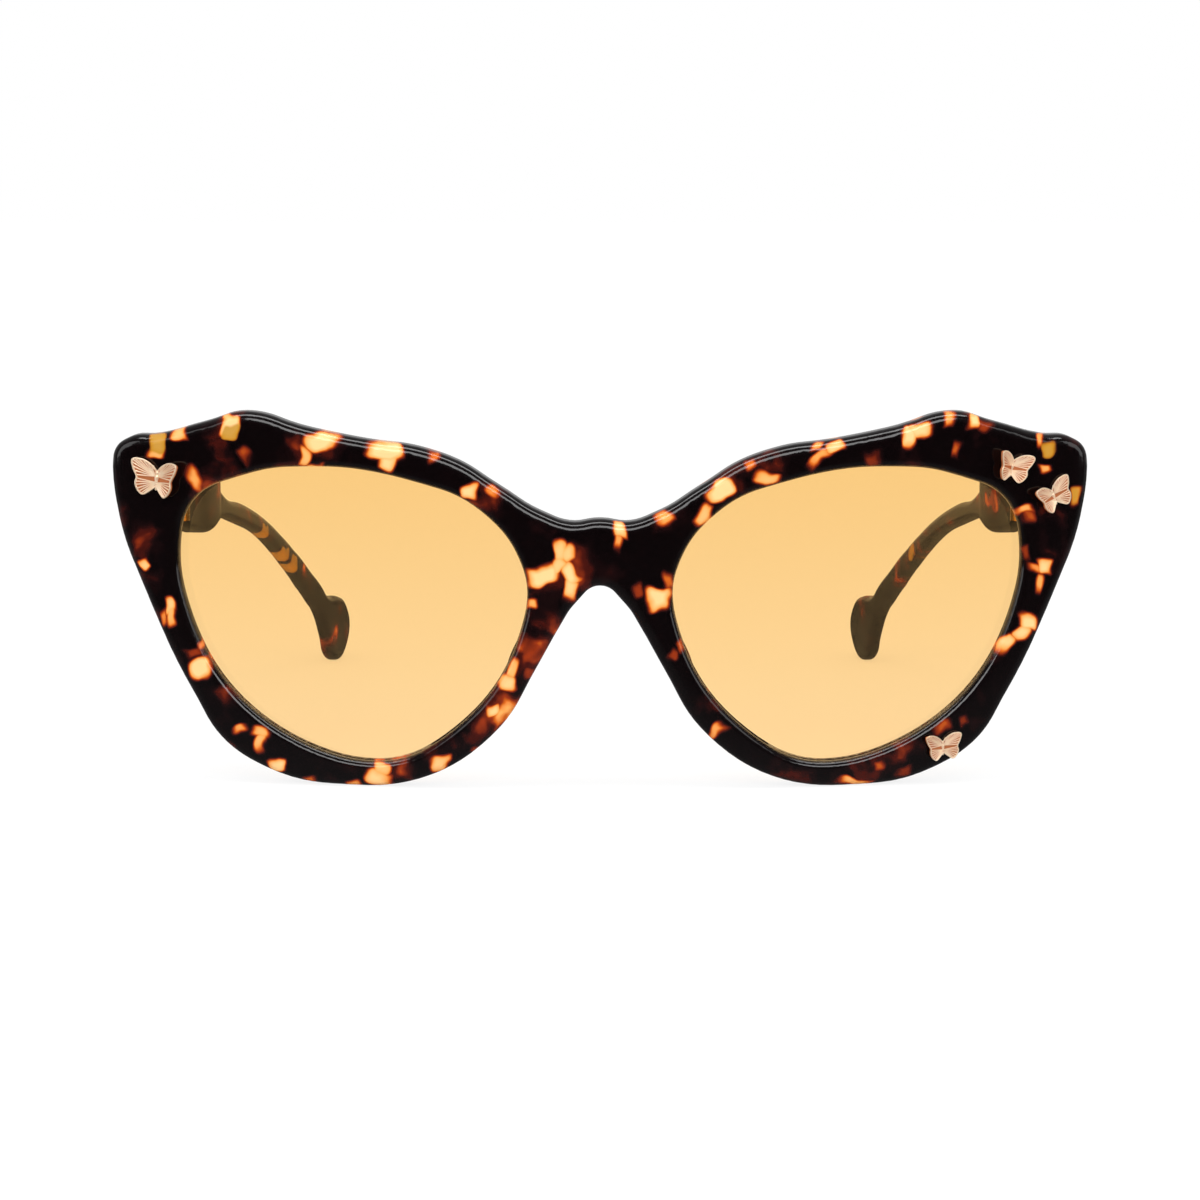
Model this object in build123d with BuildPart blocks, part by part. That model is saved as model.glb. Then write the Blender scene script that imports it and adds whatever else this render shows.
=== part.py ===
from build123d import *
import os
from math import asin, atan2, cos, hypot, radians, sin, sqrt, tan

# Butterfly sunglasses in tortoise acetate, standing open on the rims and the temple tips.
# X is across the face with the wearer's left at +X, Y runs back along the temples, Z is up.
# The origin is on the ground, in the middle of the overall width and depth. All in millimetres.

# Lenses, measured by their box, and the front that holds them
lens_width = 52.5
lens_height = 44.2
lens_gap = 21.6
lens_thickness = 2.0
lens_bevel = 0.8
lens_play = 0.04
lower_rim = 3.8
brow_height = 8.1
wing_reach = 10.3
bridge_top = 40.5
bridge_height = 10.0
front_thickness = 4.6
front_bend_radius = 250.0
groove_setback = 1.5
outer_front_round = 1.6
outer_back_round = 0.8
opening_front_round = 1.1
opening_back_round = 0.5

# End pieces, the thick pads behind the front's outer corners that carry the hinges
seat_depth = 17.0
end_piece_inset = 0.6
end_piece_outer = 70.5
end_piece_low = 37.4
end_piece_high = 49.6
end_piece_root = 5.0
end_piece_corner = 1.5

# Hinges of five knuckles, three on the front and two on the temple
hinge_reach = 64.0
hinge_middle = 43.1
knuckle_radius = 1.4
knuckle_height = 1.75
knuckle_gap = 0.06
hinge_clearance = 0.3
leaf_thickness = 1.0
leaf_play = 0.03
leaf_corner = 0.5
front_leaf_width = 4.4
front_leaf_overlap = 0.3
front_leaf_margin = 0.5
front_tab_root = 0.4
temple_leaf_length = 11.5
temple_leaf_height = 7.2
temple_tab_root = 0.4
anchor_radius = 0.6
anchor_spacing = 5.0
front_anchor_length = 2.0
temple_anchor_length = 1.0
screw_radius = 0.6
screw_fit = 0.03
screw_head_radius = 1.15
screw_head_height = 0.7
screw_slot_width = 0.35
screw_slot_depth = 0.3

# Temples, with a tall lobe at the hinge, a slim arm and a paddle tip
temple_reach = 127.0
temple_splay = 6.9
butt_gap = 0.1
butt_trim = 4.0
lobe_thickness = 3.4
lobe_swell = 1.2
lobe_swell_start = 12.6
lobe_top = 49.3
lobe_low = 34.4
lobe_fade_start = 28.0
lobe_fade_end = 34.0
arm_thickness = 2.6
arm_height = 3.5
neck_place = 42.0
neck_top = 38.2
paddle_length = 12.6
paddle_height = 12.3
bend_start = 66.0
bend_radius = 500.0
temple_edge_round = 0.95

# Core wires inside the temples
core_start = 20.0
core_width = 1.2
core_height = 1.6
core_play = 0.03

# Nose pads glued behind the rims
pad_length = 14.0
pad_width = 3.2
pad_reach = 5.0
pad_lean = 28.0
pad_place = 10.6
pad_level = 20.5
pad_tip_share = 0.62
pad_tip_shift = 1.2
pad_edge_round = 0.2

# Butterfly plaques, each one casting with two pegs
charm_wing_thickness = 0.4
charm_body_radius = 0.42
charm_body_length = 2.7
charm_peg_radius = 0.4
charm_peg_length = 1.8
charm_peg_spacing = 1.2
charm_peg_play = 0.02
charm_stand_off = 0.03

# Butterflies: place across and up the front, turn, size and how far each pair of wings is lifted
butterflies = {
    "butterfly_right_tip": (-66.4, 45.6, -7, 0.97, 12, 26),
    "butterfly_left_brow": (61.5, 47.5, -12, 0.78, 35, 30),
    "butterfly_left_tip": (68.1, 43.0, 25, 0.77, 27, 3),
    "butterfly_left_rim": (51.5, 5.5, 5, 0.70, 19, 7),
}

# Places worked out from the sizes above
hinge_depth = seat_depth + knuckle_radius + hinge_clearance
splay = radians(temple_splay)
front_y = -(hinge_depth + temple_reach * cos(splay)) / 2
bend_centre_y = front_y + front_bend_radius
seat_y = front_y + seat_depth
hinge_y = front_y + hinge_depth
lens_in = lens_gap / 2
lens_out = lens_in + lens_width
lens_mid = (lens_in + lens_out) / 2
lens_low = lower_rim
lens_top = lens_low + lens_height
front_half = lens_out + wing_reach
front_top = lens_top + brow_height
arch_top = bridge_top - bridge_height
knuckle_pitch = knuckle_height + knuckle_gap
hinge_height = 5 * knuckle_height + 4 * knuckle_gap
hinge_low = hinge_middle - hinge_height / 2
hinge_high = hinge_low + hinge_height
leaf_face = knuckle_radius + hinge_clearance
temple_face = leaf_face + lobe_thickness
paddle_front = temple_reach - paddle_length

# The temple's own planes: its side seen from outside, and its plan about the hinge axis
temple_out = Vector(cos(splay), sin(splay), 0)
temple_back = Vector(-sin(splay), cos(splay), 0)
temple_side = Plane(origin=(hinge_reach, hinge_y, 0), x_dir=temple_back, z_dir=temple_out)
temple_plan = Plane(origin=(hinge_reach, hinge_y, 0), x_dir=temple_out, z_dir=(0, 0, 1))

os.makedirs("parts", exist_ok=True)


def save(piece, name):
    """Labels a finished piece and writes its file."""
    piece.label = name
    export_step(piece, "parts/" + name + ".step")


def draw_arc(start, heading, end):
    """An arc from start to end that leaves start at a heading in radians."""
    across, along = end[0] - start[0], end[1] - start[1]
    chord = atan2(along, across)
    turn = (chord - heading + radians(180)) % radians(360) - radians(180)
    bulge = hypot(across, along) / 2 * tan(turn / 2)
    middle = ((start[0] + end[0]) / 2 + bulge * sin(chord), (start[1] + end[1]) / 2 - bulge * cos(chord))
    if abs(bulge) < 0.0005:
        Line(start, end)
    else:
        ThreePointArc(start, middle, end)


def arc_joint(start, start_heading, end, end_heading):
    """Where two arcs meet smoothly that leave start and reach end at the given headings."""
    tx, ty = cos(start_heading), sin(start_heading)
    sx, sy = cos(end_heading), sin(end_heading)
    vx, vy = end[0] - start[0], end[1] - start[1]
    bend = 2 * (1 - tx * sx - ty * sy)
    chord = vx * vx + vy * vy
    lean = vx * (tx + sx) + vy * (ty + sy)
    if bend < 1e-9:
        reach = chord / (2 * lean)
    else:
        reach = (sqrt(lean * lean + bend * chord) - lean) / bend
    return ((start[0] + end[0] + reach * (tx - sx)) / 2, (start[1] + end[1] + reach * (ty - sy)) / 2)


def smooth_run(points, first=None, last=None):
    """Tangent arcs through points, from a first to a last heading in degrees or else as a closed loop."""
    headings = []
    for i, point in enumerate(points):
        before = points[i - 1]
        after = points[(i + 1) % len(points)]
        x_in, y_in = point[0] - before[0], point[1] - before[1]
        x_out, y_out = after[0] - point[0], after[1] - point[1]
        share = hypot(x_out, y_out) / hypot(x_in, y_in)
        headings.append(atan2(y_in * share + y_out / share, x_in * share + x_out / share))
    if first is None:
        points = points + points[:1]
        headings = headings + headings[:1]
    else:
        headings[0] = radians(first)
        headings[-1] = radians(last)
    for i in range(len(points) - 1):
        end = points[i + 1]
        joint = arc_joint(points[i], headings[i], end, headings[i + 1])
        draw_arc(points[i], headings[i], joint)
        draw_arc(joint, 2 * atan2(end[1] - joint[1], end[0] - joint[0]) - headings[i + 1], end)


def curved_rim(faces):
    """Curved edges round a group of touching faces, so neither those in between nor straight cuts."""
    edges = [edge for face in faces for edge in face.edges()]
    rim = [edge for edge in edges if sum(edge.is_same(other) for other in edges) == 1]
    return [edge for edge in rim if edge.geom_type != GeomType.LINE]


def curved_layer(near_depth, far_depth):
    """The wall between two depths behind the bent face, all round the centre of the bend."""
    with BuildPart() as layer:
        with BuildSketch(Plane.XY.offset(-front_top)):
            with Locations((0, bend_centre_y)):
                Circle(front_bend_radius - near_depth)
                Circle(front_bend_radius - far_depth, mode=Mode.SUBTRACT)
        extrude(amount=3 * front_top)
    return layer.part


def bent_face(part, radius):
    """The large face of a piece that is bent to a radius."""
    bent = part.faces().filter_by(GeomType.CYLINDER).filter_by(lambda f: abs(f.radius - radius) < 0.001)
    return bent.sort_by(Face.area)[-1]


def face_at_depth(part, depth):
    """The bent face of a piece that lies at a depth behind the front's face."""
    return bent_face(part, front_bend_radius - depth)


def draw_lens():
    """The left opening's outline, in shares of half the lens box, run by run between its extremes."""
    runs = [
        ([(1.0, 0.36), (0.93, 0.73), (0.56, 0.955), (0.15, 1.0)], 90, 180),
        ([(0.15, 1.0), (-0.30, 0.925), (-0.70, 0.745), (-0.93, 0.45), (-1.0, 0.16)], 180, 270),
        ([(-1.0, 0.16), (-0.94, -0.18), (-0.70, -0.645), (-0.131, -1.0)], 270, 0),
        ([(-0.131, -1.0), (0.36, -0.84), (0.76, -0.44), (0.93, -0.05), (1.0, 0.36)], 0, 90),
    ]
    middle = lens_low + lens_height / 2
    for shares, first, last in runs:
        points = [(lens_mid + u * lens_width / 2, middle + v * lens_height / 2) for u, v in shares]
        smooth_run(points, first, last)


def lens_blank(growth):
    """A bent disc of the opening's outline with a ridge all round, grown by a clearance."""
    near = groove_setback - growth
    far = groove_setback + lens_thickness + growth
    with BuildPart() as blank:
        with BuildSketch(Plane.XZ):
            with BuildLine():
                draw_lens()
            make_face()
            offset(amount=lens_bevel + growth)
        extrude(amount=-front_y + front_thickness)
        add(curved_layer(near, far), mode=Mode.INTERSECT)
        chamfer(face_at_depth(blank.part, near).edges() + face_at_depth(blank.part, far).edges(), lens_bevel)
    return blank.part


def draw_front():
    """The left half of the front's outline, from the bridge over brow and wing back to the nose arch."""
    brow = (lens_mid + 15.8, front_top)
    wing_tip = (front_half, lens_top - 0.5)
    lowest = (lens_mid - 2.3, 0)
    over_brow = [
        (0, bridge_top), (lens_in - 6.3, bridge_top - 0.4), (lens_in - 1.8, bridge_top + 1.2),
        (lens_in + 4.2, lens_top - 2.6), (lens_in + 10.2, lens_top + 1.1), (lens_in + 16.2, lens_top + 3.1),
        (lens_mid - 2.6, lens_top + 4.1), (lens_mid + 6.0, lens_top + 5.7), brow,
    ]
    over_wing = [
        brow, (lens_out - 4.0, front_top - 1.7), (lens_out + 3.0, lens_top + 4.5),
        (lens_out + 7.3, lens_top + 4.0), (front_half - 0.8, lens_top + 2.6), wing_tip,
    ]
    down_side = [
        wing_tip, (lens_out + 9.2, lens_top - 8.9), (lens_out + 5.0, lens_top - 20.3),
        (lens_out - 1.1, lens_low + 11.0), (lens_out - 7.0, lens_low + 2.1),
        (lens_out - 14.8, lens_low - 2.2), lowest,
    ]
    up_nose = [
        lowest, (lens_in + 13.3, lens_low - 1.5), (lens_in + 4.2, lens_low + 5.3),
        (lens_in - 1.8, arch_top - 11.5), (lens_in - 4.7, arch_top - 6.3),
        (lens_in - 6.8, arch_top - 3.0), (0, arch_top),
    ]
    smooth_run(over_brow, 0, 0)
    smooth_run(over_wing, 0, -90)
    smooth_run(down_side, -90, 180)
    smooth_run(up_nose, 180, 180)


def end_piece():
    """The left pad behind the wing, with the flat seat for the temple and room round the opening."""
    width = end_piece_outer - hinge_reach
    height = end_piece_high - end_piece_low
    level = (end_piece_low + end_piece_high) / 2
    with BuildPart() as pad:
        with BuildSketch(Plane.XZ.offset(-seat_y)):
            with Locations((hinge_reach + width / 2, level)):
                Rectangle(width, height)
            with Locations((hinge_reach, level)):
                RectangleRounded(2 * width, height, end_piece_corner)
            with BuildSketch(mode=Mode.SUBTRACT):
                with BuildLine():
                    draw_lens()
                make_face()
                offset(amount=end_piece_inset)
        extrude(amount=end_piece_root)
    return pad.part


def front_leaf(growth):
    """The front's hinge leaf, sunk in the seat with two anchors, or with a growth the pocket for it."""
    seat = Plane.XZ.offset(-seat_y)
    middle = (hinge_reach - front_leaf_overlap + front_leaf_width / 2, hinge_middle)
    height = hinge_height + 2 * front_leaf_margin + 2 * growth
    with BuildPart() as leaf:
        with BuildSketch(seat):
            with Locations(middle):
                RectangleRounded(front_leaf_width + 2 * growth, height, leaf_corner)
        extrude(amount=leaf_thickness + growth)
        with BuildSketch(seat):
            with Locations(middle):
                with GridLocations(0, anchor_spacing, 1, 2):
                    Circle(anchor_radius + growth)
        extrude(amount=leaf_thickness + front_anchor_length + growth)
    return leaf.part


def temple_leaf(growth):
    """The temple's hinge leaf, sunk in its inner face with two anchors, or with a growth its pocket."""
    inner_face = temple_side.offset(leaf_face)
    front_end = -knuckle_radius - butt_trim * (growth > 0)
    length = temple_leaf_length - front_end + growth
    with BuildPart() as leaf:
        with BuildSketch(inner_face) as plate:
            with Locations((front_end + length / 2, hinge_middle)):
                Rectangle(length, temple_leaf_height + 2 * growth)
            fillet(plate.vertices().sort_by(Axis.X)[-2:], leaf_corner)
        extrude(amount=leaf_thickness + growth)
        with BuildSketch(inner_face):
            with Locations((temple_leaf_length / 2, hinge_middle)):
                with GridLocations(anchor_spacing, 0, 2, 1):
                    Circle(anchor_radius + growth)
        extrude(amount=leaf_thickness + temple_anchor_length + growth)
    return leaf.part


def temple_layer(near, far, lobe_extra=0, swell=0):
    """The wall between two depths inside the temple's outer face, deeper at the lobe and its swell."""
    sweep = asin((temple_reach + paddle_length - bend_start) / bend_radius)
    front_end = -2 * butt_trim

    def spot(depth, angle):
        reach = bend_radius - depth
        return (temple_face - bend_radius + reach * cos(angle), bend_start + reach * sin(angle))

    with BuildPart() as layer:
        with BuildSketch(temple_plan.offset(-front_top)):
            with BuildLine():
                Line((temple_face - near, front_end), spot(near, 0))
                ThreePointArc(spot(near, 0), spot(near, sweep / 2), spot(near, sweep))
                Line(spot(near, sweep), spot(far, sweep))
                ThreePointArc(spot(far, sweep), spot(far, sweep / 2), spot(far, 0))
                lobe_in = temple_face - far - lobe_extra
                Line(spot(far, 0), (temple_face - far, lobe_fade_end))
                swollen = (lobe_in - swell, lobe_fade_start)
                smooth_run([(temple_face - far, lobe_fade_end), swollen], -90, -90)
                smooth_run([swollen, (lobe_in, lobe_swell_start)], -90, -90)
                Line((lobe_in, lobe_swell_start), (lobe_in, front_end))
                Line((lobe_in, front_end), (temple_face - near, front_end))
            make_face()
        extrude(amount=3 * front_top)
    return layer.part


def draw_temple():
    """The temple seen from the side, along it from the hinge axis and up from the ground."""
    heel = (temple_reach, paddle_height / 2)
    lowest = (temple_reach - 6.6, 0)
    top = [
        (-butt_trim, lobe_top - 0.8), (neck_place - 29.5, lobe_top), (neck_place - 19.5, lobe_top - 1.8),
        (neck_place - 12.4, lobe_top - 5.2), (neck_place - 7.0, neck_top + 3.0), (neck_place, neck_top),
        (neck_place + 12.5, neck_top - 2.3), (neck_place + 30.7, neck_top - 6.9),
        (neck_place + 48.8, neck_top - 13.6), (paddle_front - 6.6, paddle_height + 4.2),
        (paddle_front + 0.8, paddle_height + 0.3), (paddle_front + 5.1, paddle_height),
        (temple_reach - 2.4, paddle_height - 1.9), heel,
    ]
    tip = [heel, (temple_reach - 2.6, 1.6), lowest]
    bottom = [
        lowest, (paddle_front + 2.1, 1.4), (paddle_front, 5.0), (paddle_front - 3.9, paddle_height - 2.5),
        (paddle_front - 9.6, paddle_height + 0.8), (neck_place + 46.7, neck_top - 16.7),
        (neck_place + 28.7, neck_top - 9.6), (neck_place + 10.6, neck_top - arm_height - 1.9),
        (neck_place, neck_top - arm_height), (neck_place - 5.0, neck_top - arm_height + 0.3),
        (neck_place - 11.5, lobe_low + 1.2), (neck_place - 19.0, lobe_low),
        (neck_place - 27.5, lobe_low + 1.3), (neck_place - 36.0, lobe_low + 3.4),
        (-butt_trim, lobe_low + 3.8),
    ]
    smooth_run(top, 4, -90)
    smooth_run(tip, -90, 180)
    smooth_run(bottom, 180, 180)
    Line(bottom[-1], top[0])


def core_strip(growth):
    """The flat core wire along the middle of the arm, or with a growth the cavity round it."""
    line = [
        (core_start - growth, lobe_low + 6.8), (neck_place - 4.4, neck_top - 1.1),
        (neck_place + 12.7, neck_top - 4.2), (neck_place + 30.8, neck_top - 8.7),
        (neck_place + 48.9, neck_top - 15.7), (paddle_front - 6.4 + growth, paddle_height + 1.6),
    ]
    half = core_height / 2 + growth
    upper = [(along, level + half) for along, level in line]
    lower = [(along, level - half) for along, level in line]
    with BuildPart() as strip:
        with BuildSketch(temple_side):
            with BuildLine():
                smooth_run(upper, -12, -27)
                Line(upper[-1], lower[-1])
                smooth_run(lower[::-1], 153, 168)
                Line(lower[0], upper[0])
            make_face()
        extrude(amount=hinge_reach / 2, both=True)
        middle = arm_thickness / 2
        half_width = core_width / 2 + growth
        add(temple_layer(middle - half_width, middle + half_width), mode=Mode.INTERSECT)
    return strip.part


def charm_plane(x, z, turn):
    """The plane that touches the bent face at x and z, turned about its outward normal."""
    lean = asin(x / front_bend_radius)
    angle = radians(turn)
    outward = Vector(sin(lean), -cos(lean), 0)
    across = Vector(cos(lean), sin(lean), 0) * cos(angle) + Vector(0, 0, 1) * sin(angle)
    spot = Vector(x, bend_centre_y - front_bend_radius * cos(lean), z) + outward * charm_stand_off
    return Plane(origin=spot, x_dir=across, z_dir=outward)


def charm_pegs(plane, growth):
    """The two pegs under a butterfly, or with a growth the holes for them."""
    with BuildPart() as pegs:
        with BuildSketch(plane):
            with GridLocations(0, charm_peg_spacing, 1, 2):
                Circle(charm_peg_radius + growth)
        extrude(amount=-charm_peg_length - growth)
    return pegs.part


def wings(plane, side, lift, size):
    """Fore and hind wing in one on one side of the body, lifted off the face by an angle."""
    outline = [
        (-0.2, 0.9), (0.9, 2.1), (2.2, 2.9), (3.6, 3.1), (4.35, 2.7), (4.0, 1.4), (3.35, 0.2),
        (3.5, -0.8), (3.0, -1.9), (2.15, -2.5), (1.3, -2.0), (0.45, -1.3), (-0.2, -1.0),
    ]
    with BuildPart() as pair:
        with BuildSketch(plane.rotated((0, -side * lift, 0))):
            with BuildLine():
                smooth_run([(side * size * u, size * v) for u, v in outline])
            make_face()
        extrude(amount=charm_wing_thickness)
    return pair.part


def butterfly(plane, size, left_lift, right_lift):
    """A cast butterfly with half open wings, its back flat on the front and two pegs under it."""
    with BuildPart() as casting:
        with BuildSketch(plane):
            Ellipse(charm_body_radius, size * charm_body_length / 2)
            with Locations((charm_body_radius, 0)):
                Rectangle(2 * charm_body_radius, size * charm_body_length, mode=Mode.INTERSECT)
        revolve(axis=Axis(plane.origin, plane.y_dir))
        add(wings(plane, -1, left_lift, size))
        add(wings(plane, 1, right_lift, size))
        split(bisect_by=plane, keep=Keep.TOP)
        add(charm_pegs(plane, 0))
    return casting.part


# Front: a bent slab, its outside and openings rounded, then the end pieces and every seat cut in it
with BuildPart() as frame_front:
    with BuildSketch(Plane.XZ):
        with BuildLine():
            draw_front()
            mirror(about=Plane.YZ)
        make_face()
    extrude(amount=-front_y + front_thickness)
    add(curved_layer(0, front_thickness), mode=Mode.INTERSECT)
    fillet(face_at_depth(frame_front.part, 0).edges(), outer_front_round)
    fillet(face_at_depth(frame_front.part, front_thickness).edges(), outer_back_round)
    with BuildSketch(Plane.XZ):
        with BuildLine():
            draw_lens()
        make_face()
        mirror(about=Plane.YZ)
    extrude(amount=-front_y + front_thickness, mode=Mode.SUBTRACT)
    fillet([w.edges() for w in face_at_depth(frame_front.part, 0).inner_wires()], opening_front_round)
    back = face_at_depth(frame_front.part, front_thickness)
    fillet([w.edges() for w in back.inner_wires()], opening_back_round)
    pads = end_piece()
    add(pads)
    mirror(pads, about=Plane.YZ)
    for cut in (lens_blank(lens_play), front_leaf(leaf_play)):
        add(cut, mode=Mode.SUBTRACT)
        mirror(cut, about=Plane.YZ, mode=Mode.SUBTRACT)
    for x, z, turn, *shape in butterflies.values():
        add(charm_pegs(charm_plane(x, z, turn), charm_peg_play), mode=Mode.SUBTRACT)
save(frame_front.part, "frame_front")

# Lenses, bent like the front, with a ridge all round that snaps into the groove of the rim
with BuildPart() as lens_left:
    add(lens_blank(0))
save(lens_left.part, "lens_left")

with BuildPart() as lens_right:
    mirror(lens_left.part, about=Plane.YZ)
save(lens_right.part, "lens_right")

# Nose pads, tapered to the back and seated on the bent back face of the rim
with BuildPart() as nose_pad_left:
    with BuildSketch(Plane.XZ.offset(-front_y)):
        with Locations((pad_place, pad_level)):
            Ellipse(pad_width / 2, pad_length / 2, rotation=pad_lean)
    with BuildSketch(Plane.XZ.offset(-front_y - front_thickness - pad_reach)):
        with Locations((pad_place + pad_tip_shift, pad_level)):
            Ellipse(pad_width / 2 * pad_tip_share, pad_length / 2 * pad_tip_share, rotation=pad_lean)
    loft()
    fillet(nose_pad_left.edges().group_by(Axis.Y)[-1], pad_edge_round)
    add(curved_layer(front_thickness, 3 * front_thickness), mode=Mode.INTERSECT)
save(nose_pad_left.part, "nose_pad_left")

with BuildPart() as nose_pad_right:
    mirror(nose_pad_left.part, about=Plane.YZ)
save(nose_pad_right.part, "nose_pad_right")

# Front half of the hinge: the sunk leaf with the lowest, middle and highest knuckles
with BuildPart() as front_hinge_left:
    add(front_leaf(0))
    for level in range(0, 5, 2):
        with BuildSketch(Plane.XY.offset(hinge_low + level * knuckle_pitch)):
            with Locations((hinge_reach, hinge_y)):
                Circle(knuckle_radius)
            with BuildLine():
                Polyline(
                    (hinge_reach - front_leaf_overlap, seat_y - front_tab_root),
                    (hinge_reach + knuckle_radius, seat_y - front_tab_root),
                    (hinge_reach + knuckle_radius, hinge_y),
                    (hinge_reach - knuckle_radius, hinge_y),
                    (hinge_reach - front_leaf_overlap, seat_y),
                    close=True,
                )
            make_face()
        extrude(amount=knuckle_height)
    with BuildSketch(Plane.XY.offset(hinge_low)):
        with Locations((hinge_reach, hinge_y)):
            Circle(screw_radius + screw_fit)
    extrude(amount=hinge_height, mode=Mode.SUBTRACT)
save(front_hinge_left.part, "front_hinge_left")

with BuildPart() as front_hinge_right:
    mirror(front_hinge_left.part, about=Plane.YZ)
save(front_hinge_right.part, "front_hinge_right")

# Temple half of the hinge: the leaf sunk in the lobe with the two knuckles in between
with BuildPart() as temple_hinge_left:
    add(temple_leaf(0))
    for level in (1, 3):
        with BuildSketch(temple_plan.offset(hinge_low + level * knuckle_pitch)):
            Circle(knuckle_radius)
            with Locations(((leaf_face + temple_tab_root) / 2, 0)):
                Rectangle(leaf_face + temple_tab_root, 2 * knuckle_radius)
        extrude(amount=knuckle_height)
    with BuildSketch(temple_plan.offset(hinge_low)):
        Circle(screw_radius + screw_fit)
    extrude(amount=hinge_height, mode=Mode.SUBTRACT)
save(temple_hinge_left.part, "temple_hinge_left")

with BuildPart() as temple_hinge_right:
    mirror(temple_hinge_left.part, about=Plane.YZ)
save(temple_hinge_right.part, "temple_hinge_right")

# Hinge screw, slotted, its head on the highest knuckle
with BuildPart() as hinge_screw_left:
    with BuildSketch(Plane.XY.offset(hinge_low)):
        with Locations((hinge_reach, hinge_y)):
            Circle(screw_radius)
    extrude(amount=hinge_height)
    with BuildSketch(Plane.XY.offset(hinge_high)):
        with Locations((hinge_reach, hinge_y)):
            Circle(screw_head_radius)
    extrude(amount=screw_head_height)
    with BuildSketch(Plane.XY.offset(hinge_high + screw_head_height)):
        with Locations((hinge_reach, hinge_y)):
            Rectangle(2 * screw_head_radius, screw_slot_width)
    extrude(amount=-screw_slot_depth, mode=Mode.SUBTRACT)
save(hinge_screw_left.part, "hinge_screw_left")

with BuildPart() as hinge_screw_right:
    mirror(hinge_screw_left.part, about=Plane.YZ)
save(hinge_screw_right.part, "hinge_screw_right")

# Temple: a sheet that thickens at the lobe, rounded all round, cut to the seat, with its hollows
with BuildPart() as temple_left:
    with BuildSketch(temple_side):
        with BuildLine():
            draw_temple()
        make_face()
    extrude(amount=hinge_reach / 2, both=True)
    add(temple_layer(0, arm_thickness, lobe_thickness - arm_thickness, lobe_swell), mode=Mode.INTERSECT)
    outside = temple_left.faces().filter_by(lambda f: f.normal_at().dot(temple_out) > 0.7)
    inside = temple_left.faces().filter_by(lambda f: f.normal_at().dot(temple_out) < -0.7)
    fillet(curved_rim(outside) + curved_rim(inside), temple_edge_round)
    split(bisect_by=Plane.XZ.offset(-seat_y - butt_gap), keep=Keep.BOTTOM)
    add(temple_leaf(leaf_play), mode=Mode.SUBTRACT)
    add(core_strip(core_play), mode=Mode.SUBTRACT)
save(temple_left.part, "temple_left")

with BuildPart() as temple_right:
    mirror(temple_left.part, about=Plane.YZ)
save(temple_right.part, "temple_right")

# Core wire, a flat strip moulded into each temple
with BuildPart() as core_wire_left:
    add(core_strip(0))
save(core_wire_left.part, "core_wire_left")

with BuildPart() as core_wire_right:
    mirror(core_wire_left.part, about=Plane.YZ)
save(core_wire_right.part, "core_wire_right")

# Four butterflies, one on the right wing and three on the left half of the front
for name, (x, z, turn, size, left_lift, right_lift) in butterflies.items():
    save(butterfly(charm_plane(x, z, turn), size, left_lift, right_lift), name)
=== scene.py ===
from math import asin, cos, radians, sin

import bmesh
import bpy
from mathutils import Matrix, Vector
from mathutils.geometry import interpolate_bezier


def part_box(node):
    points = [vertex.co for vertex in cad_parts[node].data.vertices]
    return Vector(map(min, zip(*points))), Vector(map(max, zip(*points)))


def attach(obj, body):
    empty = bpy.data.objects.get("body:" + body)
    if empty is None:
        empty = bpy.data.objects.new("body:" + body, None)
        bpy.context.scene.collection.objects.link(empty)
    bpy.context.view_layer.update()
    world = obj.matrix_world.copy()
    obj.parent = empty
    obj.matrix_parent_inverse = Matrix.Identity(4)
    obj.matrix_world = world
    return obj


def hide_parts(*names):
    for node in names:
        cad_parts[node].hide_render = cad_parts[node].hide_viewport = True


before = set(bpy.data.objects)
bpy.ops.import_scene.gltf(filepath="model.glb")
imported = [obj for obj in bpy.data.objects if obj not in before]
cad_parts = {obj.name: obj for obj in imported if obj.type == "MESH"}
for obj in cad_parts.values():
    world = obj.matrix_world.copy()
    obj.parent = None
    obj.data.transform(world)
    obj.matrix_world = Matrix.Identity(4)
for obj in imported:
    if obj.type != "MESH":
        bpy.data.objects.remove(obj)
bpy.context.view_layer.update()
mm = 0.001


# Front: one bent slab of polished tortoise acetate, a black brown with amber and red patches that
# run right through the sheet. It is milled from the block, tumbled and buffed, so every edge is
# round and glossy, and the patches lie where the sheet happened to be cut.
def tone(red, green, blue):
    """A colour as seen on a screen, 0 to 255, turned into light."""
    return [((c / 255 + 0.055) / 1.055) ** 2.4 if c > 10 else c / 255 / 12.92 for c in (red, green, blue)]


class Amount:
    """A number that changes over a surface, so that finishes can be written as sums."""

    def __init__(self, finish, socket):
        self.finish = finish
        self.socket = socket

    def sum_with(self, operation, first, second):
        """The maths node behind each sum. The smaller of two is written <, and the larger |."""
        return self.finish.node("ShaderNodeMath", {"operation": operation}, {0: first, 1: second})

    def __add__(self, other):
        return self.sum_with("ADD", self, other)

    def __sub__(self, other):
        return self.sum_with("SUBTRACT", self, other)

    def __rsub__(self, other):
        return self.sum_with("SUBTRACT", other, self)

    def __mul__(self, other):
        return self.sum_with("MULTIPLY", self, other)

    def __truediv__(self, other):
        return self.sum_with("DIVIDE", self, other)

    def __lt__(self, other):
        return self.sum_with("MINIMUM", self, other)

    def __or__(self, other):
        return self.sum_with("MAXIMUM", self, other)

    __radd__ = __add__
    __rmul__ = __mul__
    __ror__ = __or__


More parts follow.
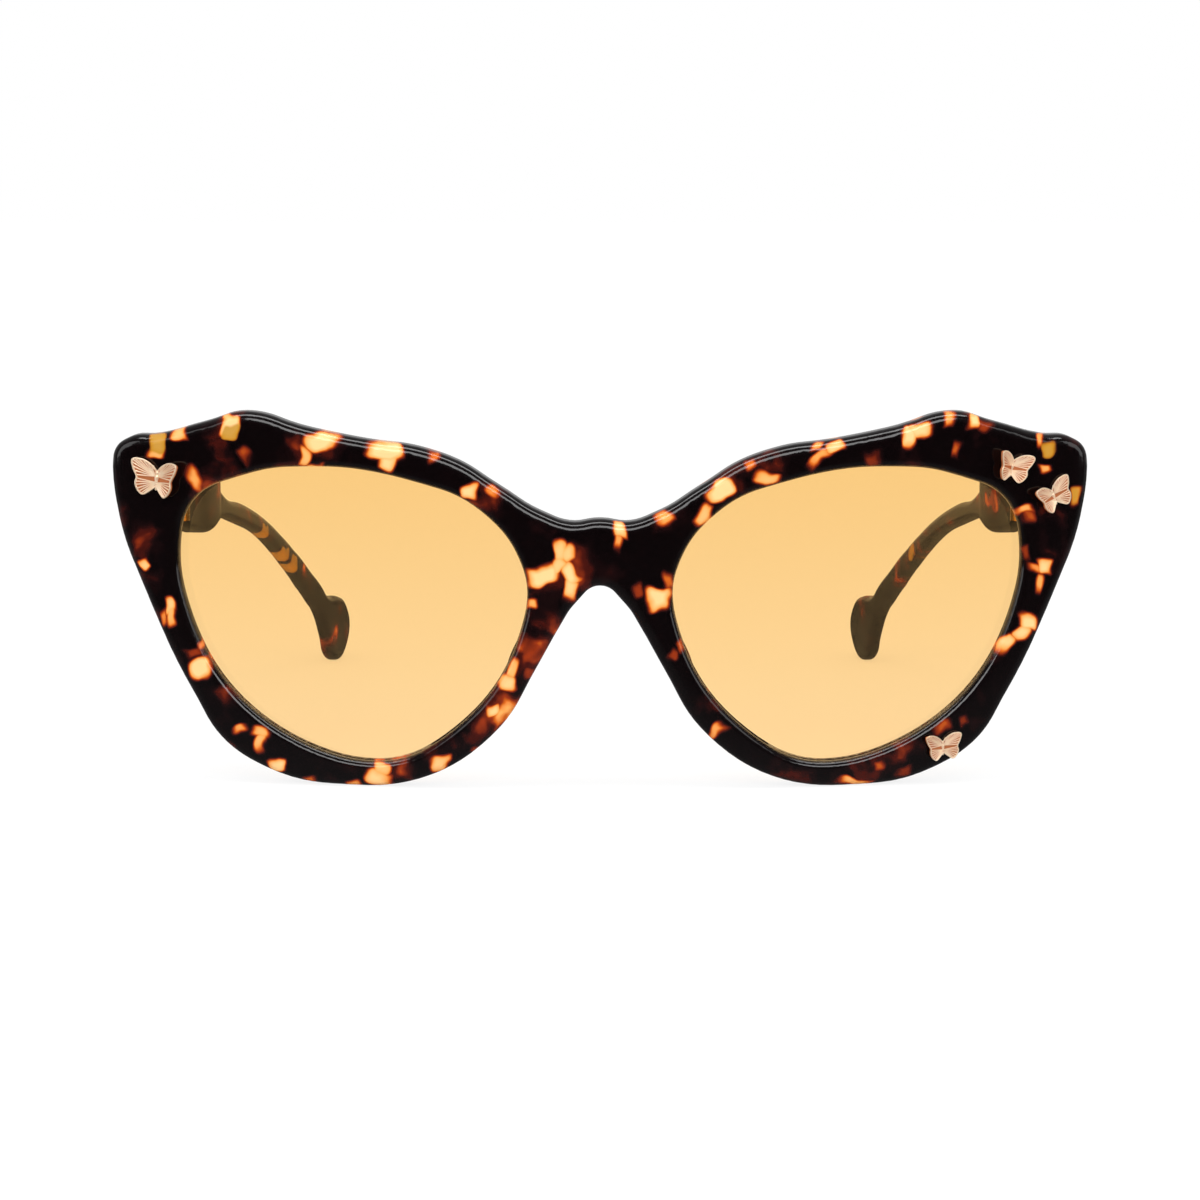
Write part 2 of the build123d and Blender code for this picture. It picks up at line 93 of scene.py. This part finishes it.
class Finish:
    """One material, or the world, as a tree of nodes."""

    def __init__(self, owner):
        owner.use_nodes = True
        self.material = owner
        self.tree = owner.node_tree
        self.tree.nodes.clear()

    def node(self, kind, settings=(), sockets=(), out=0):
        """One node with its settings, then the values and links of its sockets."""
        new = self.tree.nodes.new(kind)
        for key, value in dict(settings).items():
            if key == "stops":
                stops = new.color_ramp.elements
                stops.remove(stops[1])
                stops[0].position = value[0][0]
                stops[0].color = (*value[0][1], 1)
                for place, colour in value[1:]:
                    stops.new(place).color = (*colour, 1)
            else:
                setattr(new, key, value)
        for key, value in dict(sockets).items():
            if isinstance(value, Amount):
                self.tree.links.new(value.socket, new.inputs[key])
            else:
                new.inputs[key].default_value = value
        return Amount(self, new.outputs[out])

    def blend(self, share, first, second):
        """Two colours mixed by a share of the second."""
        return self.node("ShaderNodeMix", {"data_type": "RGBA"}, {0: share, 6: first, 7: second}, 2)

    def surface(self, shader):
        """Sends a shader to the material's output, and gives the material back."""
        output = self.tree.nodes.new("ShaderNodeOutputMaterial")
        self.tree.links.new(shader.socket, output.inputs["Surface"])
        return self.material


def merged(node):
    """The mesh of a CAD node with its loose triangles joined."""
    shell = bmesh.new()
    shell.from_mesh(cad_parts[node].data)
    bmesh.ops.remove_doubles(shell, verts=shell.verts, dist=0.0005 * mm)
    return shell


def stand_in(shell, node, body, material, sharp=32):
    """A smooth shaded piece that stands in a CAD node's place."""
    mesh = bpy.data.meshes.new(node + "_look")
    shell.to_mesh(mesh)
    shell.free()
    for old in ("custom_normal", "sharp_face", "sharp_edge"):
        if old in mesh.attributes:
            mesh.attributes.remove(mesh.attributes[old])
    mesh.shade_smooth()
    mesh.set_sharp_from_angle(angle=radians(sharp))
    piece = bpy.data.objects.new(node + "_look", mesh)
    bpy.context.collection.objects.link(piece)
    piece.data.materials.append(material)
    weighted = piece.modifiers.new("even_shading", "WEIGHTED_NORMAL")
    weighted.keep_sharp = True
    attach(piece, body)
    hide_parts(node)
    return piece


through_front = 200
through_temple = 20


# A patch is its middle, its half sizes and its turns in mm and degrees, and how bright it comes out
def on_face(x, z, across, up, turn=0, strength=1):
    """A patch that runs through the front from face to back."""
    return (x, 0, z), (across, through_front, up), (0, -turn, 0), strength


def on_side(x, y, z, along, up, turn=0, strength=1):
    """A patch that runs through one temple from side to side."""
    return (x, y, z), (through_temple, along, up), (turn, 0, 0), strength


halo = 0.75
wander_reach = 3.8
core_glow = 0.62
patches_per_flow = 30
shades = [
    (0.0, tone(9, 4, 5)), (0.12, tone(24, 8, 9)), (0.25, tone(70, 19, 12)), (0.37, tone(148, 50, 16)),
    (0.45, tone(214, 102, 26)), (0.55, tone(246, 166, 84)), (0.75, tone(255, 206, 142)),
]


def tortoise(name, patches, olives, mottle):
    """Polished tortoise acetate with placed patches in red halos over a mottle of dim ones."""
    acetate = Finish(bpy.data.materials.new(name))
    place = acetate.node("ShaderNodeTexCoord", out="Object")
    drift = acetate.node("ShaderNodeTexNoise", {}, {"Vector": place, "Scale": 215, "Detail": 1.5}, "Color")
    drift = acetate.node("ShaderNodeVectorMath", {"operation": "SUBTRACT"}, {0: drift, 1: (0.5, 0.5, 0.5)})
    wander = acetate.node(
        "ShaderNodeVectorMath",
        {"operation": "MULTIPLY_ADD"},
        {0: drift, 1: (wander_reach * mm,) * 3, 2: place},
    )

    def spots(places):
        """How far inside the nearest of some patches a point lies."""
        found = 0
        flow = wander
        for i, (middle, sizes, turns, strength) in enumerate(places):
            if i % patches_per_flow == patches_per_flow - 1:
                # Later patches flow a hair off the earlier ones, which also orders the long shader sum
                flow = acetate.node(
                    "ShaderNodeVectorMath", {"operation": "ADD"}, {0: wander, 1: found * 0.02 * mm}
                )
            here = acetate.node(
                "ShaderNodeMapping",
                {"vector_type": "TEXTURE"},
                {
                    "Vector": flow,
                    "Location": [c * mm for c in middle],
                    "Rotation": [radians(c) for c in turns],
                    "Scale": [(c + halo) * mm for c in sizes],
                },
            )
            boxy = acetate.node("ShaderNodeVectorMath", {"operation": "MULTIPLY"}, {0: here, 1: here})
            fall = acetate.node("ShaderNodeTexGradient", {"gradient_type": "SPHERICAL"}, {0: boxy}, 1)
            rise = core_glow / (1 - (min(sizes) / (min(sizes) + halo)) ** 2)
            found = found | fall * (strength * rise)
        return found

    cloud = acetate.node("ShaderNodeTexNoise", {}, {"Vector": wander, "Scale": 120, "Detail": 3}, 0)
    speck = acetate.node("ShaderNodeTexNoise", {}, {"Vector": place, "Scale": 500, "Detail": 2}, 0)
    glow = (cloud - (0.62 - 0.12 * mottle)) * (1 + 1.2 * mottle) | spots(patches)
    glow = glow + (speck - 0.5) * 0.08
    colour = acetate.node("ShaderNodeValToRGB", {"stops": shades}, {0: glow})
    if olives:
        ochre = tone(186, 136, 36)
        colour = acetate.blend((spots(olives) - 0.2) * 3 < 0.85, colour, (*ochre, 1))
    polish = acetate.node("ShaderNodeTexNoise", {}, {"Vector": place, "Scale": 900, "Detail": 3}, 0)
    ripple = acetate.node("ShaderNodeTexNoise", {}, {"Vector": place, "Scale": 90, "Detail": 1}, 0)
    wave = acetate.node("ShaderNodeBump", {}, {"Strength": 0.05, "Distance": 0.2 * mm, "Height": ripple})
    return acetate.surface(
        acetate.node(
            "ShaderNodeBsdfPrincipled",
            {},
            {
                "Base Color": colour,
                "Roughness": 0.09 + polish * 0.06,
                "IOR": 1.49,
                "Coat Weight": 0.05,
                "Coat Roughness": 0.03,
                "Normal": wave,
            },
        )
    )


front_patches = [
    on_face(-66.5, 49.7, 0.9, 0.25), on_face(-63.3, 53.0, 1.3, 0.4, 12), on_face(-55.2, 54.2, 1.1, 1.4, -10),
    on_face(-52.8, 49.5, 0.4, 1.0, 35, 0.6), on_face(-61.0, 46.1, 1.6, 0.8, -42, 0.72),
    on_face(-41.4, 52.0, 2.5, 1.1, -4), on_face(-44.2, 49.8, 0.35, 1.5, -12), on_face(-42.4, 48.3, 1.3, 0.3),
    on_face(-31.9, 50.6, 2.0, 1.1, -3), on_face(-31.6, 48.8, 0.9, 0.8),
    on_face(-24.8, 50.0, 0.6, 0.5, 0, 0.7), on_face(-19.2, 44.5, 0.9, 0.9, 0, 0.95),
    on_face(-15.7, 44.5, 0.7, 0.35, -40, 0.8), on_face(-68.8, 32.5, 0.65, 0.55, -45),
    on_face(-64.7, 26.0, 0.55, 0.6, 0), on_face(-64.6, 25.0, 0.25, 0.8, -5),
    on_face(-66.0, 25.0, 0.25, 0.5, 25, 0.8), on_face(-60.3, 20.8, 0.25, 0.4, 25, 0.8),
    on_face(-60.1, 17.2, 1.7, 1.05, 27), on_face(-61.3, 19.4, 1.2, 0.5, 22, 0.55),
    on_face(-54.2, 8.4, 0.6, 0.45, 15, 0.85), on_face(-51.2, 7.7, 1.1, 0.35, -8),
    on_face(-50.7, 6.5, 0.35, 1.0, 10), on_face(-48.7, 3.1, 0.8, 0.9, 20),
    on_face(-43.9, 0.8, 0.5, 0.25, 0, 0.75), on_face(-37.0, 0.5, 1.0, 0.25),
    on_face(-33.0, 1.4, 1.5, 0.8, 0), on_face(-32.8, 2.8, 0.6, 0.5), on_face(-23.9, 3.8, 0.6, 1.3, 0),
    on_face(-16.4, 11.8, 0.75, 0.85, 25), on_face(-13.9, 16.4, 0.75, 1.4, -25),
    on_face(-12.9, 18.4, 0.35, 1.2, -22), on_face(-10.3, 17.5, 0.3, 0.5, -25, 0.6),
    on_face(-18.9, 5.9, 0.3, 0.6, -25, 0.6),
    on_face(-8.6, 32.2, 2.2, 1.1, 8), on_face(-6.4, 33.3, 1.5, 0.6, 35), on_face(-6.0, 35.2, 0.6, 1.5, 12),
    on_face(-4.9, 34.8, 0.6, 0.8, 30), on_face(-4.4, 32.3, 1.5, 0.9, -45), on_face(-4.3, 30.2, 0.7, 1.7, -18),
    on_face(-9.6, 28.2, 0.5, 0.35, 0, 0.95), on_face(2.6, 38.8, 0.8, 0.8),
    on_face(2.1, 37.2, 0.35, 1.1, -15, 0.9), on_face(8.6, 28.9, 1.2, 0.95, 4),
    on_face(9.9, 31.2, 0.3, 1.4, 0, 0.75), on_face(6.1, 29.9, 0.3, 0.5, 0, 0.6),
    on_face(9.9, 40.6, 0.4, 0.9, 30, 0.9), on_face(17.7, 44.5, 2.3, 1.2, 30),
    on_face(14.9, 41.0, 1.5, 0.45, 42), on_face(22.3, 48.7, 0.4, 0.3, 20, 0.8),
    on_face(24.7, 46.7, 1.5, 0.6, -18, 0.9), on_face(34.9, 51.1, 1.0, 0.6, 20),
    on_face(33.0, 49.4, 2.4, 0.35, 36, 0.9), on_face(32.2, 51.0, 0.5, 0.35, 0, 0.9),
    on_face(40.8, 49.5, 1.2, 0.5, 0, 0.5), on_face(47.3, 53.4, 2.4, 0.75, 20),
    on_face(45.5, 52.2, 0.9, 1.2, 0), on_face(51.9, 54.9, 0.4, 0.4, 0, 0.85),
    on_face(55.7, 54.8, 0.9, 0.8, -15), on_face(57.4, 53.6, 0.9, 0.4, -20, 0.6),
    on_face(53.6, 50.3, 0.35, 1.0, -15, 0.65), on_face(66.4, 52.2, 0.35, 0.6, 0, 0.85),
    on_face(67.2, 47.5, 0.8, 0.4, 0, 0.9), on_face(71.5, 42.9, 0.35, 0.8, 0, 0.9),
    on_face(63.6, 41.1, 1.4, 0.3, 6, 0.92), on_face(64.0, 40.0, 0.9, 0.5, 0, 0.6),
    on_face(67.3, 32.5, 0.7, 0.9), on_face(65.8, 32.2, 1.3, 0.4, -10, 0.8),
    on_face(66.5, 30.0, 0.3, 1.2, -12, 0.9), on_face(64.2, 34.5, 0.3, 0.9, 25, 0.6),
    on_face(64.8, 24.6, 1.3, 0.9, -8), on_face(63.4, 22.8, 1.7, 0.7, 48), on_face(61.2, 20.7, 1.5, 0.7, 52),
    on_face(10.2, 20.2, 0.35, 0.6, -20, 0.62), on_face(11.6, 21.5, 0.3, 0.6, 20, 0.7),
    on_face(17.2, 8.5, 1.3, 0.4, 42, 0.88), on_face(38.1, 0.6, 2.7, 0.3, 3),
    on_face(41.5, 3.5, 0.4, 0.5, 0, 0.65), on_face(51.0, 8.4, 1.0, 0.5, 20, 0.6),
    on_face(55.0, 9.4, 0.7, 0.4, 30, 0.5), on_face(45.2, 2.0, 0.8, 0.4, 0, 0.5),
]
front_olives = [
    on_face(-66.5, 51.2, 0.7, 1.0), on_face(-55.0, 53.2, 0.8, 0.6), on_face(67.8, 50.7, 0.7, 0.6, 0, 0.9),
    on_face(71.5, 42.9, 0.3, 0.7, 0, 0.8),
]
front_acetate = tortoise("tortoise_front", front_patches + front_olives, front_olives, 0.8)
stand_in(merged("frame_front"), "frame_front", "front", front_acetate)


# Lenses: 2 mm amber sheet, a little darker towards the top, bent with the front and snapped into
# the groove of the rim. Light goes through them, so their shadow is amber too.
lens_top = 48.0
amber = Finish(bpy.data.materials.new("amber_lens"))
lens_place = amber.node("ShaderNodeTexCoord", out="Object")
lens_level = amber.node("ShaderNodeSeparateXYZ", {}, {0: lens_place}, "Z") / (lens_top * mm)
lens_tint = amber.node(
    "ShaderNodeValToRGB",
    {"stops": [(0.0, (1.0, 0.7, 0.35)), (0.5, (0.995, 0.655, 0.285)), (1.0, (0.985, 0.615, 0.225))]},
    {0: lens_level},
)
glass = amber.node(
    "ShaderNodeBsdfPrincipled",
    {},
    {"Base Color": lens_tint, "Roughness": 0.0, "IOR": 1.5, "Transmission Weight": 1.0},
)
clear = amber.node("ShaderNodeBsdfTransparent", {}, {0: lens_tint})
is_shadow = amber.node("ShaderNodeLightPath", out="Is Shadow Ray")
amber.surface(amber.node("ShaderNodeMixShader", {}, {0: is_shadow, 1: glass, 2: clear}))
for side in ("left", "right"):
    stand_in(merged("lens_" + side), "lens_" + side, "front", amber.material, sharp=25)


# Nose pads: two wedges of the same acetate, glued behind the rims and polished with them. They are
# cloudier than the front, and one brighter patch is placed in the wearer's left pad.
pad_acetate = tortoise("tortoise_pads", [on_face(9.4, 17.0, 0.5, 0.9, -30, 0.9)], [], 1)
for side in ("left", "right"):
    pad = "nose_pad_" + side
    stand_in(merged(pad), pad, "front", pad_acetate)


# Temples: cut from a thinner sheet of the acetate, tall at the hinge and slim behind, with a paddle
# tip. The patches are sparser here. Each is shot with a steel core wire that stiffens the arm.
temple_patches = [
    on_side(-58, 16, 29.4, 3.0, 0.8, -20, 0.58), on_side(-56, 30, 23.8, 3.2, 0.8, -22, 0.6),
    on_side(-56, 36, 21.2, 2.4, 0.7, -24, 0.6), on_side(-60, 3.7, 33.6, 3.0, 0.4, -15, 0.45),
    on_side(56, 33, 24.1, 3.0, 0.8, -22, 0.56), on_side(59.5, 4.4, 33.0, 3.0, 0.4, -15, 0.45),
    on_side(57, 23, 29.0, 3.4, 0.5, -20, 0.4), on_side(55, 41, 13.6, 2.4, 0.6, -30, 0.42),
]
temple_olives = [
    on_side(-58, 16, 29.4, 2.2, 1.0, -20), on_side(-56, 30, 23.8, 2.4, 1.1, -22),
    on_side(-56, 36, 21.2, 1.8, 1.0, -24), on_side(56, 33, 24.1, 1.8, 0.9, -22, 0.8),
]
temple_acetate = tortoise("tortoise_temples", temple_patches, temple_olives, 0.95)
steel = Finish(bpy.data.materials.new("core_steel"))
steel_place = steel.node("ShaderNodeTexCoord", out="Object")
steel_grain = steel.node("ShaderNodeTexNoise", {}, {"Vector": steel_place, "Scale": 800, "Detail": 4}, 0)
steel_shade = steel.blend(steel_grain, (0.42, 0.42, 0.43, 1), (0.62, 0.62, 0.62, 1))
steel.surface(
    steel.node(
        "ShaderNodeBsdfPrincipled",
        {},
        {"Base Color": steel_shade, "Metallic": 1.0, "Roughness": 0.25 + steel_grain * 0.2},
    )
)
for side in ("left", "right"):
    temple = "temple_" + side
    stand_in(merged(temple), temple, temple, temple_acetate)
    stand_in(merged("core_wire_" + side), "core_wire_" + side, temple, steel.material)


# Hinges: five brass knuckles on one slotted screw, three on the front's leaf and two on the
# temple's. The leaves are sunk in the acetate and held by anchors, and polished with it.
brass = Finish(bpy.data.materials.new("hinge_brass"))
brass_place = brass.node("ShaderNodeTexCoord", out="Object")
brass_grain = brass.node("ShaderNodeTexNoise", {}, {"Vector": brass_place, "Scale": 1500, "Detail": 5}, 0)
brass_wear = brass.node("ShaderNodeTexNoise", {}, {"Vector": brass_place, "Scale": 300, "Detail": 3}, 0)
brass_texture = brass.node(
    "ShaderNodeBump", {}, {"Strength": 0.15, "Distance": 0.02 * mm, "Height": brass_grain}
)
brass.surface(
    brass.node(
        "ShaderNodeBsdfPrincipled",
        {},
        {
            "Base Color": brass.blend(brass_wear, (*tone(196, 158, 104), 1), (*tone(236, 208, 158), 1)),
            "Metallic": 1.0,
            "Roughness": 0.16 + brass_grain * 0.2,
            "Normal": brass_texture,
        },
    )
)
for side in ("left", "right"):
    temple = "temple_" + side
    for hinge, body in (("front_hinge_", "front"), ("hinge_screw_", "front"), ("temple_hinge_", temple)):
        stand_in(merged(hinge + side), hinge + side, body, brass.material)


# Butterflies: small rose gold castings with half open wings. Ribs fan out over the wings inside a
# raised rim. The real ones are glued into the front by two pegs, which are hidden and left out here.
def rose_gold(name, dark, light, roughness):
    """Cast rose gold in one of two painted tones: darker as painted shade between the ribs, or lighter as a
    painted highlight on top of them.
    """
    rose = Finish(bpy.data.materials.new(name))
    place = rose.node("ShaderNodeTexCoord", out="Object")
    grain = rose.node("ShaderNodeTexNoise", {}, {"Vector": place, "Scale": 1200, "Detail": 4}, 0)
    return rose.surface(
        rose.node(
            "ShaderNodeBsdfPrincipled",
            {},
            {
                "Base Color": rose.blend(grain, dark, light),
                "Metallic": 0.55,
                "Roughness": roughness + grain * 0.14,
            },
        )
    )


# One metal in two tones: the wing plates get a darker rose gold as painted shade between the ribs, and the
# ribs, rims, feelers and body a lighter one as a painted highlight.
rose_painted_shade = rose_gold("rose_gold_grooves", (*tone(186, 96, 50), 1), (*tone(222, 142, 92), 1), 0.42)
rose_painted_highlight = rose_gold("rose_gold_polish", (*tone(255, 214, 172), 1), (*tone(255, 238, 214), 1), 0.34)
front_bend = 250.0
front_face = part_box("frame_front")[0][1] / mm
stand_off = 0.03
wing_plate = 0.4
rim_radius = 0.15
rib_radius = 0.12
spans_per_side = 4
ribless_ends = 5
rib_step = 2
wing_notch = 0.1
wing_outline = [
    (-0.1, 0.9), (0.9, 2.05), (2.2, 2.82), (3.55, 3.0), (4.25, 2.65), (3.9, 1.4), (3.27, 0.2),
    (3.4, -0.8), (2.9, -1.85), (2.12, -2.4), (1.3, -1.92), (0.45, -1.2), (-0.1, -0.9),
]
fore_root = (0.3, 0.55)
hind_root = (0.3, -0.35)
feeler_level = 0.5
feeler_root = (0.1, 1.3)
feeler_tip = (0.7, 2.1)
tail_rings = 4
ring_spacing = 0.38
ring_taper = 0.05
# Place across and up the front, turn, size and how far the wings on each side are lifted
butterflies = {
    "butterfly_right_tip": (-66.4, 45.6, -7, 0.97, 12, 26),
    "butterfly_left_brow": (61.5, 47.5, -12, 0.78, 35, 30),
    "butterfly_left_tip": (68.1, 43.0, 25, 0.77, 27, 3),
    "butterfly_left_rim": (51.5, 5.5, 5, 0.70, 19, 7),
}


def smooth_line(points, steps):
    """Points along a smooth line through the given ones."""
    line = []
    for i in range(len(points) - 1):
        before, start, end = points[max(i - 1, 0)], points[i], points[i + 1]
        after = points[min(i + 2, len(points) - 1)]
        leaving = start + (end - before) / 6
        arriving = end - (after - start) / 6
        line += interpolate_bezier(start, leaving, arriving, end, steps + 1)[:-1]
    return line + [points[-1]]


def rod(shell, start, end, start_radius, end_radius, place):
    """A round bar between two points, for rims, ribs and feelers."""
    along = end - start
    aimed = along.to_track_quat("Z", "Y").to_matrix().to_4x4()
    bmesh.ops.create_cone(
        shell,
        cap_ends=True,
        segments=8,
        radius1=start_radius,
        radius2=end_radius,
        depth=along.length,
        matrix=place @ Matrix.Translation((start + end) / 2) @ aimed,
    )


def bead(shell, middle, sizes, place):
    """An egg shaped bead for a head, body or feeler tip."""
    stretched = place @ Matrix.Translation(middle) @ Matrix.Diagonal((*sizes, 1))
    bmesh.ops.create_uvsphere(shell, u_segments=20, v_segments=12, radius=1, matrix=stretched)


for node, (x, z, turn, size, left_lift, right_lift) in butterflies.items():
    lean = asin(x / front_bend)
    outward = Vector((sin(lean), -cos(lean), 0))
    spot = Vector((x, front_face + front_bend * (1 - cos(lean)), z)) + outward * stand_off
    facing = Matrix(((cos(lean), sin(lean), 0), (0, 0, 1), outward)).transposed().to_4x4()
    turned = Matrix.Rotation(radians(turn), 4, "Z")
    seat = Matrix.Scale(mm, 4) @ Matrix.Translation(spot) @ facing @ turned @ Matrix.Scale(size, 4)
    casting = bmesh.new()
    level = wing_plate / size
    wings = []
    for side, lift in ((-1, left_lift), (1, right_lift)):
        wing = seat @ Matrix.Rotation(radians(-side * lift), 4, "Y")
        rim = smooth_line([Vector((side * u, v, level)) for u, v in wing_outline], spans_per_side)
        thickness = wing.to_3x3() @ Vector((0, 0, level))
        corners = [casting.verts.new(wing @ corner - thickness) for corner in rim]
        plate = bmesh.ops.contextual_create(casting, geom=corners)["faces"]
        raised = bmesh.ops.extrude_face_region(casting, geom=plate, use_keep_orig=True)["geom"]
        raised_corners = [part for part in raised if isinstance(part, bmesh.types.BMVert)]
        bmesh.ops.translate(casting, verts=raised_corners, vec=thickness)
        wings.append((side, wing, rim))
    bmesh.ops.recalc_face_normals(casting, faces=casting.faces)
    plates = set(casting.faces)
    for side, wing, rim in wings:
        for start, end in zip(rim, rim[1:]):
            rod(casting, start, end, rim_radius, rim_radius, wing)
        for tip in rim[ribless_ends:-ribless_ends:rib_step]:
            u, v = fore_root if tip.y > wing_notch else hind_root
            rod(casting, Vector((side * u, v, level)), tip, rib_radius / 2, rib_radius, wing)
        root = Vector((side * feeler_root[0], feeler_root[1], feeler_level))
        end = Vector((side * feeler_tip[0], feeler_tip[1], feeler_level))
        rod(casting, root, end, 0.08, 0.05, seat)
        bead(casting, end, (0.1, 0.1, 0.1), seat)
    bead(casting, (0, 1.15, 0.42), (0.36, 0.38, 0.34), seat)
    bead(casting, (0, 0.35, 0.42), (0.42, 0.62, 0.42), seat)
    for ring in range(tail_rings):
        ring_place = (0, -0.2 - ring_spacing * ring, 0.36)
        bead(casting, ring_place, (0.36 - ring_taper * ring, 0.3, 0.38 - ring_taper * ring), seat)
    # Every face but the wing plates takes the lighter rose gold, which is a painted highlight.
    for face in casting.faces:
        if face not in plates:
            face.material_index = 1
    butterfly = stand_in(casting, node, "front", rose_painted_shade, sharp=60)
    butterfly.data.materials.append(rose_painted_highlight)


# Studio: a white sweep, one soft box overhead and one in front, a fill on each side, and the camera.
# The sweep and the room are white to the camera and dim in reflections, so the acetate stays dark.
floor_reach = 6
floor_drop = 0.02
floor_shell = bmesh.new()
bmesh.ops.create_grid(floor_shell, x_segments=1, y_segments=1, size=floor_reach)
bmesh.ops.translate(floor_shell, verts=floor_shell.verts, vec=(0, 0, -floor_drop * mm))
floor_mesh = bpy.data.meshes.new("studio_floor")
floor_shell.to_mesh(floor_mesh)
floor_shell.free()
studio_floor = bpy.data.objects.new("studio_floor", floor_mesh)
bpy.context.collection.objects.link(studio_floor)
white_sweep = Finish(bpy.data.materials.new("white_sweep"))
seen = (
    white_sweep.node("ShaderNodeLightPath", out="Is Camera Ray")
    | white_sweep.node("ShaderNodeLightPath", out="Is Transmission Ray")
)
mirrored = white_sweep.node("ShaderNodeLightPath", out="Is Glossy Ray") * (1 - seen)
floor_place = white_sweep.node("ShaderNodeTexCoord", out="Object")
floor_depth = white_sweep.node("ShaderNodeSeparateXYZ", {}, {0: floor_place}, "Y")
floor_fade = white_sweep.node(
    "ShaderNodeValToRGB",
    {
        "stops": [
            (0.0, (0.01,) * 3), (0.3, (0.03,) * 3), (0.42, (0.12,) * 3), (0.5, (0.22,) * 3),
            (0.64, (0.07,) * 3), (0.82, (0.26,) * 3), (1.0, (0.5,) * 3),
        ]
    },
    {0: floor_depth + 0.5},
)
far = white_sweep.node("ShaderNodeTexGradient", {"gradient_type": "SPHERICAL"}, {0: floor_place}, 1)
paper = white_sweep.node("ShaderNodeBsdfDiffuse", {}, {0: (0.86, 0.86, 0.86, 1)})
shine = white_sweep.node(
    "ShaderNodeEmission", {}, {0: white_sweep.blend(mirrored, (1, 1, 1, 1), floor_fade), 1: 1.05}
)
share = seen * (1 - far * 0.2) | mirrored
floor_mesh.materials.append(
    white_sweep.surface(white_sweep.node("ShaderNodeMixShader", {}, {0: share, 1: paper, 2: shine}))
)

world = bpy.data.worlds.new("studio_world")
bpy.context.scene.world = world
room = Finish(world)
seen_room = (
    room.node("ShaderNodeLightPath", out="Is Camera Ray")
    | room.node("ShaderNodeLightPath", out="Is Transmission Ray")
)
direction = room.node("ShaderNodeTexCoord", out="Generated")
toward_back = room.node("ShaderNodeSeparateXYZ", {}, {0: direction}, "Y")
dim = room.node(
    "ShaderNodeValToRGB",
    {"stops": [(0.0, (0.12,) * 3), (0.35, (0.5,) * 3), (1.0, (0.8,) * 3)]},
    {0: toward_back * 0.5 + 0.5},
)
gloss_dim = room.node(
    "ShaderNodeValToRGB",
    {"stops": [(0.0, (0.03,) * 3), (0.35, (0.08,) * 3), (0.5, (0.16,) * 3), (1.0, (0.5,) * 3)]},
    {0: toward_back * 0.5 + 0.5},
)
in_gloss = room.node("ShaderNodeLightPath", out="Is Glossy Ray") * (1 - seen_room)
around = room.blend(in_gloss, dim, gloss_dim)
back = room.node("ShaderNodeBackground", {}, {0: room.blend(seen_room, around, (1, 1, 1, 1)), 1: 1.0})
room_out = room.tree.nodes.new("ShaderNodeOutputWorld")
room.tree.links.new(back.socket, room_out.inputs["Surface"])


def soft_box(name, place, aim, width, height, power):
    """A soft rectangular lamp that looks at a point."""
    lamp = bpy.data.lights.new(name, "AREA")
    lamp.shape = "RECTANGLE"
    lamp.size = width
    lamp.size_y = height
    lamp.energy = power
    holder = bpy.data.objects.new(name, lamp)
    bpy.context.collection.objects.link(holder)
    holder.location = place
    holder.rotation_euler = (Vector(aim) - Vector(place)).to_track_quat("-Z", "Y").to_euler()


soft_box("overhead_box", (0, -0.15, 0.7), (0, -0.03, 0.02), 0.9, 0.16, 2.5)
soft_box("front_box", (0, -0.9, 0.6), (0, -0.05, 0.03), 1.1, 0.35, 6)
soft_box("left_fill", (-0.8, -0.5, 0.3), (0, -0.05, 0.03), 0.4, 0.6, 1.2)
soft_box("right_fill", (0.8, -0.5, 0.3), (0, -0.05, 0.03), 0.4, 0.6, 1.2)

camera_distance = 500
camera_height = 91
camera_dip = 7.12
camera_data = bpy.data.cameras.new("photo_camera")
camera_data.lens = 102
camera_data.sensor_width = 36
camera = bpy.data.objects.new("photo_camera", camera_data)
bpy.context.collection.objects.link(camera)
camera.location = (0, (front_face - camera_distance) * mm, camera_height * mm)
camera.rotation_euler = (radians(90 - camera_dip), 0, 0)
bpy.context.scene.camera = camera
bpy.context.scene.view_settings.view_transform = "Standard"
